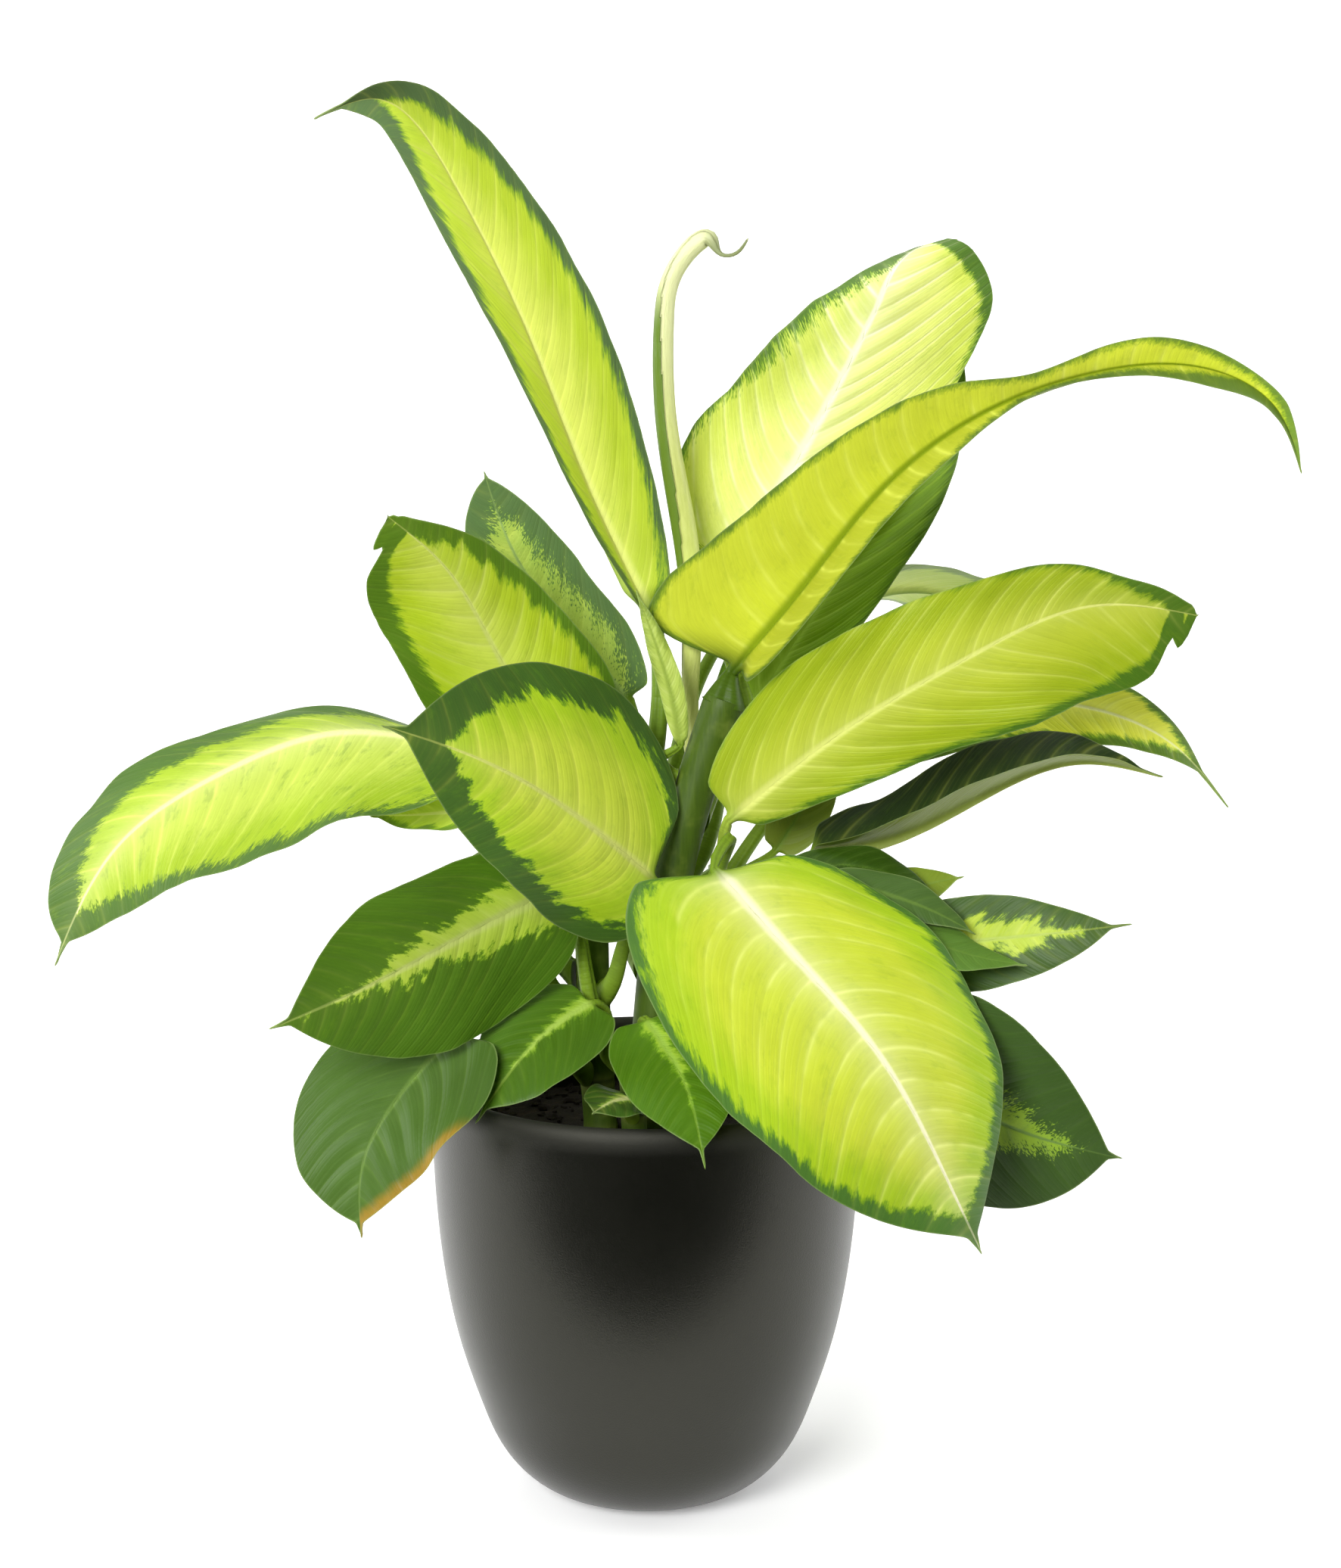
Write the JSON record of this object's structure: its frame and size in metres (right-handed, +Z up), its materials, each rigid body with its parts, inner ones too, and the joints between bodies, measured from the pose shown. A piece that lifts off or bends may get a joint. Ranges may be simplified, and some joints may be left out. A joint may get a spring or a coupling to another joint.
{
  "type": "potted dieffenbachia",
  "caption": "House plant with broad, pale-centred, dark-edged leaves on fleshy canes in a round black pot.",
  "frame": {"origin": "middle of the flat foot that the pot stands on", "axes": "+Z up, -Y towards the front of the plant, +X to its right as seen from the front"},
  "size_m": [0.5658, 0.3125, 0.6508],
  "materials": {
    "pot_black": "matte",
    "soil": "rough, granular",
    "cane_green": "smooth satin",
    "leaf_green": "satin, waxy",
    "leaf_young": "satin, waxy"
  },
  "bodies": {
    "root": {"pot": "pot_black", "soil": "soil", "cane_main": "cane_green", "cane_left": "cane_green", "cane_right": "cane_green", "cane_front": "cane_green", "cane_back": "cane_green", "leaf_tall_left": "leaf_green", "leaf_pale_top": "leaf_green", "leaf_long_tip": "leaf_green", "leaf_shaded": "leaf_green", "leaf_big_right": "leaf_green", "leaf_right_back": "leaf_green", "leaf_trough": "leaf_green", "leaf_front_right": "leaf_green", "leaf_front_left": "leaf_green", "leaf_torn": "leaf_green", "leaf_far_left": "leaf_green", "leaf_speckled_left": "leaf_green", "leaf_low_left": "leaf_green", "leaf_hanging_left": "leaf_green", "leaf_low_centre": "leaf_green", "leaf_over_rim": "leaf_green", "leaf_low_right": "leaf_green", "leaf_pointed_right": "leaf_green", "leaf_inner_dark": "leaf_green", "leaf_inner_curled": "leaf_green", "leaf_inner_tip": "leaf_green", "leaf_inner_small": "leaf_green", "leaf_underside_right": "leaf_green", "leaf_under_far_left": "leaf_green", "leaf_inner_pale": "leaf_green", "leaf_at_soil": "leaf_green", "leaf_back_high": "leaf_green", "leaf_back_left": "leaf_green", "leaf_back_right": "leaf_green", "leaf_back_low_left": "leaf_green", "leaf_back_low_right": "leaf_green", "leaf_rolled": "leaf_young"}
  },
  "joints": []
}
